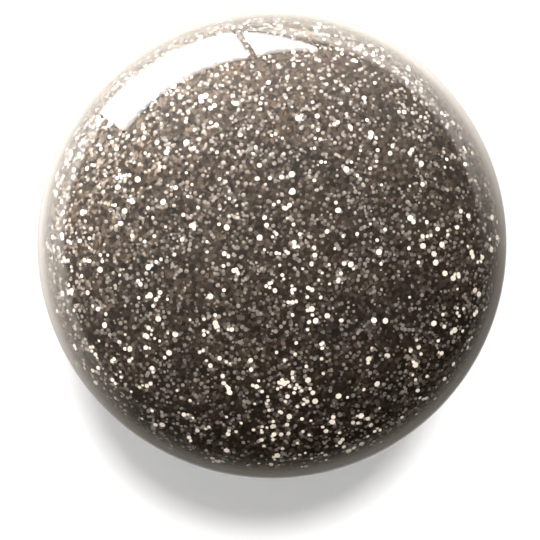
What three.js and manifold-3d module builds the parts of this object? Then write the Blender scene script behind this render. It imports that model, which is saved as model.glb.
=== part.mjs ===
// A round nail polish bottle: a glass body full of glitter lacquer, a screw-on brush cap, and a domed
// overcap in the colour of the lacquer that pulls off the brush cap. Millimetres, +Z up, and z = 0 is
// the surface that the bottle stands on. All but the mixing balls are centred on the Z axis.
import * as THREE from "three";
import { mergeVertices } from "three/addons/utils/BufferGeometryUtils.js";
import Module from "manifold-3d";

const wasm = await Module();
wasm.setup();

// ---- Driving dimensions ----
const OVERCAP_RADIUS = 17.5;
const DOME_RISE = 7.6; // height of the overcap's domed crown
const DOME_Z = 61; // where the overcap's straight side turns into the crown
const GLASS_RADIUS = 17;
const GLASS_WALL = 2.7;
const GLASS_BASE = 4.2; // height of the inside bottom
const SHOULDER_Z = 31; // top of the glass shoulder
const NECK_HEIGHT = 10.5; // shoulder to rim, a 13-415 finish
const NECK_RADIUS = 5.75;
const NECK_BORE_RADIUS = 4.1;
const THREAD_LEAD = 25.4 / 12; // 12 threads per inch
const FILL_Z = 25; // level of the lacquer
const BALL_RADIUS = 2.38; // 3/16 inch mixing balls
const BALL_TRACK_RADIUS = 9.6;
const STEM_RADIUS = 1.9;
const BRUSH_TIP_Z = 7.2;
const BRUSH_CAP_RADIUS = 8.3;
const BRUSH_CAP_TOP = 63.3;
const CLEAR_WALL = 1.3; // the overcap's clear outer shell
const COLOUR_WALL = 1.2; // the coloured cup inside it

// ---- Clearances ----
const SEAT_GAP = 0.05; // between flat faces that rest on each other
const SLIP_GAP = 0.1; // between moulded pieces pushed together
const SLIDE_GAP = 0.3; // between pieces that slide apart, and round the lacquer

// ---- Mesh fineness ----
const ROUND_SEGMENTS = 36;
const SMALL_SEGMENTS = 24;
const ARC_STEPS = 3; // each arc gets twice this many chords
const DOME_STEPS = 5;
const THREAD_STEPS = 20; // per turn

// ---- Heights and radii worked out from the driving dimensions ----
const RIM_Z = SHOULDER_Z + NECK_HEIGHT;
const GLASS_INNER_RADIUS = GLASS_RADIUS - GLASS_WALL;
const WIPER_FLANGE_THICKNESS = 0.65;
const WAD_THICKNESS = 1;
const WASHER_THICKNESS = 0.4;
const STEM_FLANGE_THICKNESS = 1.25;
const SEAL_RADIUS = 5.7;
const SEAL_BORE_RADIUS = STEM_RADIUS + 0.4;
const WIPER_TOP = RIM_Z + SEAT_GAP + WIPER_FLANGE_THICKNESS;
const WAD_Z = WIPER_TOP + SEAT_GAP;
const WASHER_Z = WAD_Z + WAD_THICKNESS + SEAT_GAP;
const STEM_FLANGE_Z = WASHER_Z + WASHER_THICKNESS + SEAT_GAP;
const INSERT_ROOF_Z = STEM_FLANGE_Z + STEM_FLANGE_THICKNESS + SEAT_GAP;
const CAP_BOTTOM_Z = SHOULDER_Z + 1.2;
const OVERCAP_BOTTOM_Z = SHOULDER_Z + 0.5;
const TRIM_HEIGHT = 1.6;
const SHELL_BOTTOM_Z = OVERCAP_BOTTOM_Z + TRIM_HEIGHT + SLIP_GAP;

// ---- Shape helpers ----

// A solid of revolution about Z from a closed outline of (radius, z), drawn anticlockwise.
function revolve(outline, segments = ROUND_SEGMENTS, arcSteps = ARC_STEPS) {
  const points = outline.getPoints(arcSteps);
  if (!points[0].equals(points.at(-1)) && points[0].x > 0) points.push(points[0].clone());
  const geometry = new THREE.LatheGeometry(points, segments);
  return geometry.rotateX(Math.PI / 2);
}

// An outline through straight corners, each given as [radius, z].
function polyline(...corners) {
  const path = new THREE.Path();
  corners.forEach(([radius, z], i) => (i ? path.lineTo(radius, z) : path.moveTo(radius, z)));
  return path;
}

// A plain ring or, with no inner radius, a disc.
function ring(innerRadius, outerRadius, bottomZ, topZ, segments = ROUND_SEGMENTS) {
  const outline = polyline(
    [innerRadius, bottomZ],
    [outerRadius, bottomZ],
    [outerRadius, topZ],
    [innerRadius, topZ],
  );
  return revolve(outline, segments);
}

// A geometry as a manifold-3d solid.
function solidOf(geometry) {
  const bare = geometry.clone();
  bare.deleteAttribute("normal");
  bare.deleteAttribute("uv");
  const merged = mergeVertices(bare, 1e-3);
  const triangles = [];
  const index = merged.index.array;
  for (let i = 0; i < index.length; i += 3) {
    const [a, b, c] = index.slice(i, i + 3);
    if (a !== b && b !== c && c !== a) triangles.push(a, b, c);
  }
  const vertProperties = merged.attributes.position.array;
  const triVerts = new Uint32Array(triangles);
  return new wasm.Manifold(new wasm.Mesh({ numProp: 3, vertProperties, triVerts }));
}

// A manifold-3d solid as a geometry.
function geometryOf(solid) {
  const mesh = solid.getMesh();
  const positions = new Float32Array(mesh.numVert * 3);
  for (let i = 0; i < mesh.numVert; i++) {
    const start = i * mesh.numProp;
    positions.set(mesh.vertProperties.subarray(start, start + 3), i * 3);
  }
  const geometry = new THREE.BufferGeometry();
  geometry.setAttribute("position", new THREE.BufferAttribute(positions, 3));
  geometry.setIndex(new THREE.BufferAttribute(mesh.triVerts, 1));
  geometry.computeVertexNormals();
  return geometry;
}

// A helical ridge about Z with a trapezoid section. Its root is sunk in the wall that it stands on, and
// its crest runs down to the root over the first and last part of a turn.
function helicalRidge({ rootRadius, crestRadius, startZ, startTurn, turns }) {
  const rootWidth = 1.15;
  const crestWidth = 0.5;
  const fadeTurns = 0.12;
  const steps = Math.round(turns * THREAD_STEPS);
  const positions = [];
  const indices = [];
  for (let i = 0; i <= steps; i++) {
    const turn = (i / steps) * turns;
    const fade = Math.min(1, turn / fadeTurns, (turns - turn) / fadeTurns);
    const crest = THREE.MathUtils.lerp(rootRadius, crestRadius, 0.1 + 0.9 * fade);
    const z = startZ + turn * THREAD_LEAD;
    const angle = (startTurn + turn) * 2 * Math.PI;
    const section = [
      [rootRadius, z - rootWidth / 2],
      [crest, z - crestWidth / 2],
      [crest, z + crestWidth / 2],
      [rootRadius, z + rootWidth / 2],
    ];
    if (crestRadius < rootRadius) section.reverse(); // keeps the section anticlockwise
    for (const [radius, height] of section)
      positions.push(radius * Math.cos(angle), radius * Math.sin(angle), height);
  }
  for (let i = 0; i < steps; i++)
    for (let j = 0; j < 4; j++) {
      const here = i * 4 + j;
      const beside = i * 4 + ((j + 1) % 4);
      indices.push(here, here + 4, beside + 4, here, beside + 4, beside);
    }
  const last = steps * 4;
  indices.push(0, 1, 2, 0, 2, 3);
  indices.push(last, last + 2, last + 1, last, last + 3, last + 2);
  const geometry = new THREE.BufferGeometry();
  geometry.setAttribute("position", new THREE.Float32BufferAttribute(positions, 3));
  geometry.setIndex(indices);
  return geometry;
}

// The two threads run side by side: the cap's ridge lies just under the glass's ridge.
const GLASS_THREAD_Z = SHOULDER_Z + 4.3;
const CAP_THREAD_PLAY = 0.25; // how far the cap's ridge is drawn up from the middle of the groove
const CAP_THREAD_START = 0.76; // turns after the start of the glass's ridge
const glassThread = {
  rootRadius: NECK_RADIUS - 0.3,
  crestRadius: NECK_RADIUS + 0.75,
  startZ: GLASS_THREAD_Z,
  startTurn: 0,
  turns: 2,
};
const capThread = {
  rootRadius: NECK_RADIUS + 1.3,
  crestRadius: NECK_RADIUS + 0.25,
  startZ: GLASS_THREAD_Z + (CAP_THREAD_START - 0.5) * THREAD_LEAD + CAP_THREAD_PLAY,
  startTurn: CAP_THREAD_START,
  turns: 1.5,
};

// ---- The bottle ----

// Heavy-based glass with a shallow recess under it, a rounded heel and shoulder, and a threaded neck.
function glassBottle() {
  const heel = 3.8;
  const shoulder = 4;
  const standRadius = GLASS_RADIUS - heel;
  const recess = 1;
  const innerCorner = 3.5;
  const innerShoulder = 3.4;
  const ceilingZ = SHOULDER_Z - 2.8;
  const body = new THREE.Path();
  body.moveTo(0, recess);
  body.lineTo(standRadius - 2.2, recess);
  body.lineTo(standRadius - 1.3, 0);
  body.lineTo(standRadius, 0);
  body.absarc(standRadius, heel, heel, -Math.PI / 2, 0, false);
  body.absarc(GLASS_RADIUS - shoulder, SHOULDER_Z - shoulder, shoulder, 0, Math.PI / 2, false);
  body.lineTo(NECK_RADIUS + 1.25, SHOULDER_Z);
  body.quadraticCurveTo(NECK_RADIUS + 0.65, SHOULDER_Z, NECK_RADIUS + 0.65, SHOULDER_Z + 0.6);
  body.lineTo(NECK_RADIUS + 0.65, SHOULDER_Z + 1.8); // the bead under the thread
  body.lineTo(NECK_RADIUS, SHOULDER_Z + 2.4);
  body.lineTo(NECK_RADIUS, RIM_Z - 0.3);
  body.lineTo(NECK_RADIUS - 0.3, RIM_Z);
  body.lineTo(NECK_BORE_RADIUS + 0.3, RIM_Z);
  body.lineTo(NECK_BORE_RADIUS, RIM_Z - 0.3);
  body.lineTo(NECK_BORE_RADIUS, ceilingZ + 2);
  body.quadraticCurveTo(NECK_BORE_RADIUS, ceilingZ, NECK_BORE_RADIUS + 2, ceilingZ);
  body.absarc(
    GLASS_INNER_RADIUS - innerShoulder,
    ceilingZ - innerShoulder,
    innerShoulder,
    Math.PI / 2,
    0,
    true,
  );
  body.absarc(
    GLASS_INNER_RADIUS - innerCorner,
    GLASS_BASE + innerCorner,
    innerCorner,
    0,
    -Math.PI / 2,
    true,
  );
  body.lineTo(0, GLASS_BASE);
  return geometryOf(solidOf(revolve(body)).add(solidOf(helicalRidge(glassThread))));
}

// The lacquer fills the glass. It leaves a well for the brush, and a channel for the mixing balls that
// is open to the glass under it.
function lacquerFill() {
  const outer = GLASS_INNER_RADIUS - SLIDE_GAP;
  const floorZ = GLASS_BASE + SLIDE_GAP;
  const cornerZ = GLASS_BASE + 3.5;
  const cornerRadius = cornerZ - floorZ;
  const cornerCentre = outer - cornerRadius;
  const channel = BALL_RADIUS + 0.37;
  const channelZ = GLASS_BASE + SEAT_GAP + BALL_RADIUS;
  const wellRadius = 3.3;
  const wellZ = BRUSH_TIP_Z - 1.2;
  const cutAngle = -Math.acos((BALL_TRACK_RADIUS + channel - cornerCentre) / cornerRadius);
  const outline = new THREE.Path();
  outline.moveTo(0, floorZ);
  outline.lineTo(BALL_TRACK_RADIUS - channel, floorZ);
  outline.absarc(BALL_TRACK_RADIUS, channelZ, channel, Math.PI, 0, true);
  outline.absarc(cornerCentre, cornerZ, cornerRadius, cutAngle, 0, false);
  outline.lineTo(outer, FILL_Z);
  outline.lineTo(wellRadius, FILL_Z);
  outline.lineTo(wellRadius, wellZ);
  outline.lineTo(0, wellZ);
  return revolve(outline, SMALL_SEGMENTS);
}

function mixingBall(angle) {
  const geometry = new THREE.SphereGeometry(BALL_RADIUS, 14, 10);
  const x = BALL_TRACK_RADIUS * Math.cos(angle);
  const y = BALL_TRACK_RADIUS * Math.sin(angle);
  return geometry.rotateX(Math.PI / 2).translate(x, y, GLASS_BASE + SEAT_GAP + BALL_RADIUS);
}

// A soft plug in the neck. Its lower lip wipes the brush stem, and its flange lies on the glass rim.
function neckWiper() {
  const sleeve = NECK_BORE_RADIUS - 0.2;
  const lip = STEM_RADIUS + 0.65;
  const bottomZ = RIM_Z - 7.1;
  const outline = polyline(
    [lip, bottomZ],
    [sleeve - 0.6, bottomZ],
    [sleeve, bottomZ + 0.8],
    [sleeve, RIM_Z + SEAT_GAP],
    [NECK_RADIUS - 0.4, RIM_Z + SEAT_GAP],
    [NECK_RADIUS - 0.4, WIPER_TOP],
    [sleeve - 0.5, WIPER_TOP],
    [sleeve - 0.7, WIPER_TOP - 0.2],
    [sleeve - 0.7, bottomZ + 1.2],
    [lip, bottomZ + 0.7],
  );
  return revolve(outline, SMALL_SEGMENTS);
}

function baseLabel() {
  const recessTop = 1 - SEAT_GAP;
  return ring(0, GLASS_RADIUS - 6.4, recessTop - 0.2, recessTop, 36);
}

// ---- The brush cap ----

const INSERT_ROOF_THICKNESS = 1.8;
const STEM_PLUG_RADIUS = 3;
const STEM_PLUG_TOP = 53;
const HANDLE_INNER_RADIUS = BRUSH_CAP_RADIUS - 1.1;
const HANDLE_CEILING_Z = BRUSH_CAP_TOP - 1.2;

// The moulded insert that screws on the neck. Its roof clamps the stem's flange, and the stem's plug
// passes through it.
function threadedInsert() {
  const outer = HANDLE_INNER_RADIUS - SLIP_GAP;
  const bore = NECK_RADIUS + 1;
  const plugBore = STEM_PLUG_RADIUS + SLIP_GAP;
  const top = INSERT_ROOF_Z + INSERT_ROOF_THICKNESS;
  const outline = polyline(
    [bore, CAP_BOTTOM_Z + 0.3],
    [bore + 0.2, CAP_BOTTOM_Z + 0.1],
    [outer, CAP_BOTTOM_Z + 0.1],
    [outer, top],
    [plugBore, top],
    [plugBore, INSERT_ROOF_Z],
    [bore, INSERT_ROOF_Z],
  );
  const wall = solidOf(revolve(outline, 32));
  return geometryOf(wall.add(solidOf(helicalRidge(capThread))));
}

// The slim handle over the insert, closed at the top, with upright flutes for the fingers.
function handleSleeve() {
  const inner = HANDLE_INNER_RADIUS;
  const edge = 0.6;
  const outline = new THREE.Path();
  outline.moveTo(inner, CAP_BOTTOM_Z);
  outline.lineTo(BRUSH_CAP_RADIUS, CAP_BOTTOM_Z);
  outline.lineTo(BRUSH_CAP_RADIUS, BRUSH_CAP_TOP - edge);
  outline.absarc(BRUSH_CAP_RADIUS - edge, BRUSH_CAP_TOP - edge, edge, 0, Math.PI / 2, false);
  outline.lineTo(0, BRUSH_CAP_TOP);
  outline.lineTo(0, HANDLE_CEILING_Z);
  outline.lineTo(inner, HANDLE_CEILING_Z);
  outline.lineTo(inner, CAP_BOTTOM_Z);
  const fluteCount = 24;
  const fluteRadius = 0.45;
  const fluteBottom = CAP_BOTTOM_Z + 12;
  const fluteTop = BRUSH_CAP_TOP - 3;
  let sleeve = solidOf(revolve(outline, 48, 2));
  for (let i = 0; i < fluteCount; i++) {
    const angle = ((i + 0.5) / fluteCount) * 2 * Math.PI;
    const flute = new THREE.CylinderGeometry(fluteRadius, fluteRadius, fluteTop - fluteBottom, 6);
    flute.rotateX(Math.PI / 2);
    const reach = BRUSH_CAP_RADIUS + 0.1;
    flute.translate(reach * Math.cos(angle), reach * Math.sin(angle), (fluteTop + fluteBottom) / 2);
    sleeve = sleeve.subtract(solidOf(flute));
  }
  return geometryOf(sleeve);
}

// The metal slug that fills the handle above the insert and gives the brush cap its weight. The stem's
// plug ends in its bore.
function handleWeight() {
  const radius = HANDLE_INNER_RADIUS - SLIDE_GAP;
  const bore = STEM_PLUG_RADIUS + 0.2;
  const bottom = INSERT_ROOF_Z + INSERT_ROOF_THICKNESS + SLIP_GAP;
  const top = HANDLE_CEILING_Z - 0.2;
  const outline = polyline(
    [bore, bottom],
    [radius, bottom],
    [radius, top - 0.5],
    [radius - 0.5, top],
    [0, top],
    [0, STEM_PLUG_TOP + SLIDE_GAP],
    [bore, STEM_PLUG_TOP + SLIDE_GAP],
    [bore, bottom],
  );
  return revolve(outline, 32);
}

const TUFT_HOLE_RADIUS = 1.5;
const STEM_END_Z = 21.5;
const TUFT_TOP_Z = STEM_END_Z + 3.8;

// The rod that carries the brush, with its sealing flange and the plug that the insert holds.
function brushStem() {
  const outline = polyline(
    [TUFT_HOLE_RADIUS, STEM_END_Z],
    [STEM_RADIUS - 0.15, STEM_END_Z],
    [STEM_RADIUS, STEM_END_Z + 0.4],
    [STEM_RADIUS, STEM_FLANGE_Z],
    [SEAL_RADIUS - 0.1, STEM_FLANGE_Z],
    [SEAL_RADIUS - 0.1, STEM_FLANGE_Z + STEM_FLANGE_THICKNESS],
    [STEM_PLUG_RADIUS, STEM_FLANGE_Z + STEM_FLANGE_THICKNESS],
    [STEM_PLUG_RADIUS, STEM_PLUG_TOP - 0.5],
    [STEM_PLUG_RADIUS - 0.4, STEM_PLUG_TOP],
    [0, STEM_PLUG_TOP],
    [0, TUFT_TOP_Z + 0.2],
    [TUFT_HOLE_RADIUS, TUFT_TOP_Z + 0.2],
    [TUFT_HOLE_RADIUS, STEM_END_Z],
  );
  return revolve(outline, SMALL_SEGMENTS);
}

const ANCHOR_THICKNESS = 0.3;
const ANCHOR_HEIGHT = 1.4;
const ANCHOR_Z = TUFT_TOP_Z - 0.9;

// The flat strip that the bristles are folded over.
function brushAnchor() {
  const strip = new THREE.BoxGeometry(2.5, ANCHOR_THICKNESS, ANCHOR_HEIGHT);
  return strip.translate(0, 0, ANCHOR_Z);
}

// The tuft: round in the stem, then flattened and spread, with a rounded tip. The slot at its top is
// where the folded bristles pass each side of the anchor.
function bristleTuft() {
  const root = TUFT_HOLE_RADIUS - SLIP_GAP;
  const outline = new THREE.Path();
  outline.moveTo(0, BRUSH_TIP_Z);
  outline.quadraticCurveTo(1.8, BRUSH_TIP_Z, 2.05, BRUSH_TIP_Z + 2.2);
  outline.quadraticCurveTo(2.35, BRUSH_TIP_Z + 7, root, STEM_END_Z + 0.2);
  outline.lineTo(root, TUFT_TOP_Z);
  outline.lineTo(0, TUFT_TOP_Z);
  const tuft = revolve(outline, 20, 5);
  const position = tuft.attributes.position;
  for (let i = 0; i < position.count; i++) {
    const below = THREE.MathUtils.clamp((STEM_END_Z - position.getZ(i)) / 7, 0, 1);
    position.setY(i, position.getY(i) * THREE.MathUtils.lerp(1, 0.42, below));
  }
  const slotHeight = ANCHOR_HEIGHT + 0.9;
  const slot = new THREE.BoxGeometry(4, ANCHOR_THICKNESS + 0.3, slotHeight);
  slot.translate(0, 0, ANCHOR_Z + slotHeight / 2 - ANCHOR_HEIGHT / 2 - 0.2);
  return geometryOf(solidOf(tuft).subtract(solidOf(slot)));
}

// ---- The overcap ----

// A cup, open downwards, with an elliptical crown: outerRadius and outerRise are its outside.
function domedCup(outerRadius, outerRise, innerRadius, innerRise, bottomZ, edge) {
  const outline = new THREE.Path();
  outline.moveTo(innerRadius, bottomZ);
  outline.lineTo(outerRadius - edge, bottomZ);
  outline.lineTo(outerRadius, bottomZ + edge);
  outline.lineTo(outerRadius, DOME_Z);
  outline.absellipse(0, DOME_Z, outerRadius, outerRise, 0, Math.PI / 2, false);
  outline.lineTo(0, DOME_Z + innerRise);
  outline.absellipse(0, DOME_Z, innerRadius, innerRise, Math.PI / 2, 0, true);
  outline.lineTo(innerRadius, bottomZ);
  return revolve(outline, ROUND_SEGMENTS, DOME_STEPS);
}

const SHELL_INNER_RADIUS = OVERCAP_RADIUS - CLEAR_WALL;
const COLOUR_RADIUS = SHELL_INNER_RADIUS - SLIP_GAP;
const COLOUR_INNER_RADIUS = COLOUR_RADIUS - COLOUR_WALL;
const CROWN_WALL = 1.1; // the clear shell at the top of the crown

function overcapClearDome() {
  const innerRise = DOME_RISE - CROWN_WALL;
  return domedCup(OVERCAP_RADIUS, DOME_RISE, SHELL_INNER_RADIUS, innerRise, SHELL_BOTTOM_Z, 0.3);
}

function overcapColourCup() {
  const rise = DOME_RISE - CROWN_WALL - SLIP_GAP;
  const inner = COLOUR_INNER_RADIUS;
  return domedCup(COLOUR_RADIUS, rise, inner, rise - COLOUR_WALL, SHELL_BOTTOM_Z, 0.1);
}

// The metallised ring under the clear shell and the coloured cup.
function overcapTrimRing() {
  const inner = COLOUR_INNER_RADIUS - 0.9;
  const edge = 0.3;
  const top = OVERCAP_BOTTOM_Z + TRIM_HEIGHT;
  const outline = new THREE.Path();
  outline.moveTo(inner, OVERCAP_BOTTOM_Z);
  outline.lineTo(OVERCAP_RADIUS - edge, OVERCAP_BOTTOM_Z);
  outline.absarc(OVERCAP_RADIUS - edge, OVERCAP_BOTTOM_Z + edge, edge, -Math.PI / 2, 0, false);
  outline.absarc(OVERCAP_RADIUS - edge, top - edge, edge, 0, Math.PI / 2, false);
  outline.lineTo(inner, top);
  return revolve(outline, ROUND_SEGMENTS, 1);
}

const GRIP_BORE_RADIUS = BRUSH_CAP_RADIUS + SLIDE_GAP;
const GRIP_OUTER_RADIUS = GRIP_BORE_RADIUS + 1.4;
const GRIP_FLANGE_THICKNESS = 1.2;
const GRIP_RING_Z = SHELL_BOTTOM_Z + 3;
const GRIP_RING_HEIGHT = 1.6;
const GRIP_GROOVE_RADIUS = GRIP_BORE_RADIUS + 0.7;

// The sleeve that goes over the brush cap's handle, with a groove for the grip ring. Its flange closes
// the overcap from below.
function overcapGripSleeve() {
  const flangeRadius = COLOUR_INNER_RADIUS - 0.2;
  const ceiling = BRUSH_CAP_TOP + SLIDE_GAP;
  const grooveBottom = GRIP_RING_Z - SEAT_GAP;
  const grooveTop = GRIP_RING_Z + GRIP_RING_HEIGHT + SEAT_GAP;
  const outline = polyline(
    [GRIP_BORE_RADIUS + 0.4, SHELL_BOTTOM_Z],
    [flangeRadius, SHELL_BOTTOM_Z],
    [flangeRadius, SHELL_BOTTOM_Z + GRIP_FLANGE_THICKNESS],
    [GRIP_OUTER_RADIUS, SHELL_BOTTOM_Z + GRIP_FLANGE_THICKNESS],
    [GRIP_OUTER_RADIUS, ceiling + 0.8],
    [GRIP_OUTER_RADIUS - 0.3, ceiling + 1],
    [0, ceiling + 1],
    [0, ceiling],
    [GRIP_BORE_RADIUS, ceiling],
    [GRIP_BORE_RADIUS, grooveTop],
    [GRIP_GROOVE_RADIUS, grooveTop],
    [GRIP_GROOVE_RADIUS, grooveBottom],
    [GRIP_BORE_RADIUS, grooveBottom],
    [GRIP_BORE_RADIUS, SHELL_BOTTOM_Z + 0.4],
    [GRIP_BORE_RADIUS + 0.4, SHELL_BOTTOM_Z],
  );
  return revolve(outline, 32);
}

// The soft ring that holds the overcap on the handle by friction.
function overcapGripRing() {
  const inner = GRIP_BORE_RADIUS - 0.1;
  return ring(inner, GRIP_GROOVE_RADIUS - SLIP_GAP, GRIP_RING_Z, GRIP_RING_Z + GRIP_RING_HEIGHT, 32);
}

// The steel ring, lying on the grip sleeve's flange, that gives the overcap its weight.
function overcapWeight() {
  const bottom = SHELL_BOTTOM_Z + GRIP_FLANGE_THICKNESS + SLIP_GAP;
  return ring(GRIP_OUTER_RADIUS + 0.3, COLOUR_INNER_RADIUS - 0.4, bottom, bottom + 5, 32);
}

// ---- Materials ----
function material(color, roughness, metalness = 0, opacity = 1) {
  const transparent = opacity < 1;
  return new THREE.MeshStandardMaterial({ color, roughness, metalness, opacity, transparent });
}
const clearGlass = material(0xe8f0ef, 0.03, 0, 0.35);
const clearAcrylic = material(0xf4f2ef, 0.04, 0, 0.3);
const glitterLacquer = material(0x57493c, 0.25, 0.6);
const polishedMetal = material(0xa79c90, 0.18, 1);
const steel = material(0xb9babd, 0.25, 1);
const blackPlastic = material(0x17161a, 0.3);
const naturalPlastic = material(0xe7e5dd, 0.5);
const sealFoam = material(0xf3f2ee, 0.8);
const nylon = material(0x1c1a19, 0.55);
const labelPaper = material(0xdcd8d2, 0.6);
const gripRubber = material(0x242328, 0.8);

// ---- Assembly ----
const nailPolishBottle = new THREE.Group();

function place(name, geometry, finish) {
  const mesh = new THREE.Mesh(geometry, finish);
  mesh.name = name;
  nailPolishBottle.add(mesh);
}

place("glass_bottle", glassBottle(), clearGlass);
place("lacquer_fill", lacquerFill(), glitterLacquer);
place("neck_wiper", neckWiper(), naturalPlastic);
place("base_label", baseLabel(), labelPaper);
[0, 1].forEach((i) => place(`mixing_ball_${i + 1}`, mixingBall(i * Math.PI), steel));

place("seal_wad", ring(SEAL_BORE_RADIUS, SEAL_RADIUS, WAD_Z, WAD_Z + WAD_THICKNESS, 28), sealFoam);
place(
  "slip_washer",
  ring(SEAL_BORE_RADIUS, SEAL_RADIUS, WASHER_Z, WASHER_Z + WASHER_THICKNESS, 28),
  naturalPlastic,
);
place("threaded_insert", threadedInsert(), naturalPlastic);
place("handle_sleeve", handleSleeve(), blackPlastic);
place("handle_weight", handleWeight(), steel);
place("brush_stem", brushStem(), naturalPlastic);
place("brush_anchor", brushAnchor(), steel);
place("bristle_tuft", bristleTuft(), nylon);

place("overcap_clear_dome", overcapClearDome(), clearAcrylic);
place("overcap_colour_cup", overcapColourCup(), glitterLacquer);
place("overcap_trim_ring", overcapTrimRing(), polishedMetal);
place("overcap_grip_sleeve", overcapGripSleeve(), blackPlastic);
place("overcap_grip_ring", overcapGripRing(), gripRubber);
place("overcap_weight", overcapWeight(), steel);

export default nailPolishBottle;
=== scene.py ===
"""A round nail polish bottle with a glossy domed glitter overcap, seen from straight above."""

import math

import bpy
import numpy as np
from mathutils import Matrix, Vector

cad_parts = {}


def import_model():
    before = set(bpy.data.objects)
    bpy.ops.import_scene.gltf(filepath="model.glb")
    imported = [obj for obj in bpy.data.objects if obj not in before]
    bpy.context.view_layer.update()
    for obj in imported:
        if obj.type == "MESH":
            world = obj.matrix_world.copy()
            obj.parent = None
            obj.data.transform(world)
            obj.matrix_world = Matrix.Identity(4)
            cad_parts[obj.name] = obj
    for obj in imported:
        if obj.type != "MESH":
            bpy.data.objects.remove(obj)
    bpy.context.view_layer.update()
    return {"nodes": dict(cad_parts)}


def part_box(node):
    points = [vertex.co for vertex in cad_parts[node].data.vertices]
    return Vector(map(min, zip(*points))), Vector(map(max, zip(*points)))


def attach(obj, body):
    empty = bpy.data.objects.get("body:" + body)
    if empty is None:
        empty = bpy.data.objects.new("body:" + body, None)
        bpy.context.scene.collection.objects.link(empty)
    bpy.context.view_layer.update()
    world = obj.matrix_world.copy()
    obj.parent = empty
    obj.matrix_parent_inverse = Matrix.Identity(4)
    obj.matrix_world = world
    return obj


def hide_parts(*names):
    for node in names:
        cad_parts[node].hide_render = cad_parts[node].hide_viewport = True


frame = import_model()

MM = 0.001
rng = np.random.default_rng(7)

# ---- Sizes in millimetres. Those that a CAD node's box gives are read from it ----


def reach(node):
    """The largest radius, lowest height and highest height of a CAD node, in millimetres."""
    low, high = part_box(node)
    return high.x / MM, low.z / MM, high.z / MM


DOME_RADIUS, DOME_BOTTOM, DOME_TOP = reach("overcap_clear_dome")
DOME_RISE = 7.6
DOME_Z = DOME_TOP - DOME_RISE
BOND = 0.03  # layers that touch reach this far into each other, so that no air shows between them
CUP_RADIUS, CUP_BOTTOM, CUP_TOP = reach("overcap_colour_cup")
CUP_RISE = CUP_TOP - DOME_Z
CUP_WALL = 1.2
GLASS_RADIUS, _, RIM_Z = reach("glass_bottle")
GLASS_INNER_RADIUS = GLASS_RADIUS - 2.7
GLASS_BASE = 4.2
SHOULDER_Z = RIM_Z - 10.5
CEILING_Z = SHOULDER_Z - 2.8
NECK_RADIUS = 5.75
NECK_BORE_RADIUS = 4.1
THREAD_LEAD = 25.4 / 12
THREAD_DEPTH = 0.75
THREAD_HALF_ROOT, THREAD_HALF_CREST = 0.48, 0.25  # half the ridge's width at its root and at its crest
THREAD_FADE = 0.12  # turns over which a thread grows at its start and fades at its end
GLASS_THREAD_Z = SHOULDER_Z + 4.3
FILL_Z = reach("lacquer_fill")[2]
BALL_RADIUS = 2.38
BALL_TRACK_RADIUS = 9.6
BALL_Z = GLASS_BASE + 0.05 + BALL_RADIUS
STEM_RADIUS = 1.9
STEM_TOP = reach("brush_stem")[2]
STEM_END_Z = reach("brush_stem")[1]
TUFT_TIP_Z, TUFT_TOP_Z = reach("bristle_tuft")[1:]
HANDLE_RADIUS, HANDLE_BOTTOM, HANDLE_TOP = reach("handle_sleeve")
INSERT_RADIUS, INSERT_BOTTOM, INSERT_TOP = reach("threaded_insert")

# ---- Outlines: lists of (radius, z) ----


def arc(radius, z, size, start, stop, steps=10, rise=None):
    """Points on a circle or ellipse about (radius, z), from start to stop in degrees."""
    rise = size if rise is None else rise
    turns = np.radians(np.linspace(start, stop, steps + 1))
    return [(radius + size * math.cos(t), z + rise * math.sin(t)) for t in turns]


def softened(outline, radius=0.12, steps=3):
    """The outline with its sharp corners rounded. Points on the axis stay."""
    points = [np.array(p, float) for p in outline]
    closed = all(p[0] > 1e-6 for p in points)
    made = []
    for i, here in enumerate(points):
        before = points[i - 1] if i or closed else None
        after = points[(i + 1) % len(points)] if i + 1 < len(points) or closed else None
        if before is None or after is None or here[0] < 1e-6:
            made.append(tuple(here))
            continue
        back, on = before - here, after - here
        lengths = np.linalg.norm(back), np.linalg.norm(on)
        straight = -(back @ on) / (lengths[0] * lengths[1] + 1e-12)
        if straight > 0.9:
            made.append(tuple(here))
            continue
        size = min(radius, 0.45 * lengths[0], 0.45 * lengths[1])
        first, last = here + back / lengths[0] * size, here + on / lengths[1] * size
        for t in np.linspace(0, 1, steps + 1):
            made.append(tuple((1 - t) ** 2 * first + 2 * t * (1 - t) * here + t * t * last))
    return made


def divided(outline, step):
    """The outline with long stretches cut into steps of at most this length."""
    made = []
    for (r0, z0), (r1, z1) in zip(outline, outline[1:]):
        count = max(1, math.ceil(math.hypot(r1 - r0, z1 - z0) / step))
        made += [(r0 + (r1 - r0) * i / count, z0 + (z1 - z0) * i / count) for i in range(count)]
    return made + [outline[-1]]


# ---- Meshes ----


def new_object(name, vertices, faces, material, smooth_angle=40):
    """A mesh object from vertices in millimetres, shaded smooth except over sharp edges."""
    mesh = bpy.data.meshes.new(name)
    mesh.from_pydata([tuple(float(x) * MM for x in v) for v in vertices], [], faces)
    mesh.validate()
    mesh.polygons.foreach_set("use_smooth", [True] * len(mesh.polygons))
    mesh.set_sharp_from_angle(angle=math.radians(smooth_angle))
    mesh.materials.append(material)
    made = bpy.data.objects.new(name, mesh)
    bpy.context.scene.collection.objects.link(made)
    return made


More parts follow.
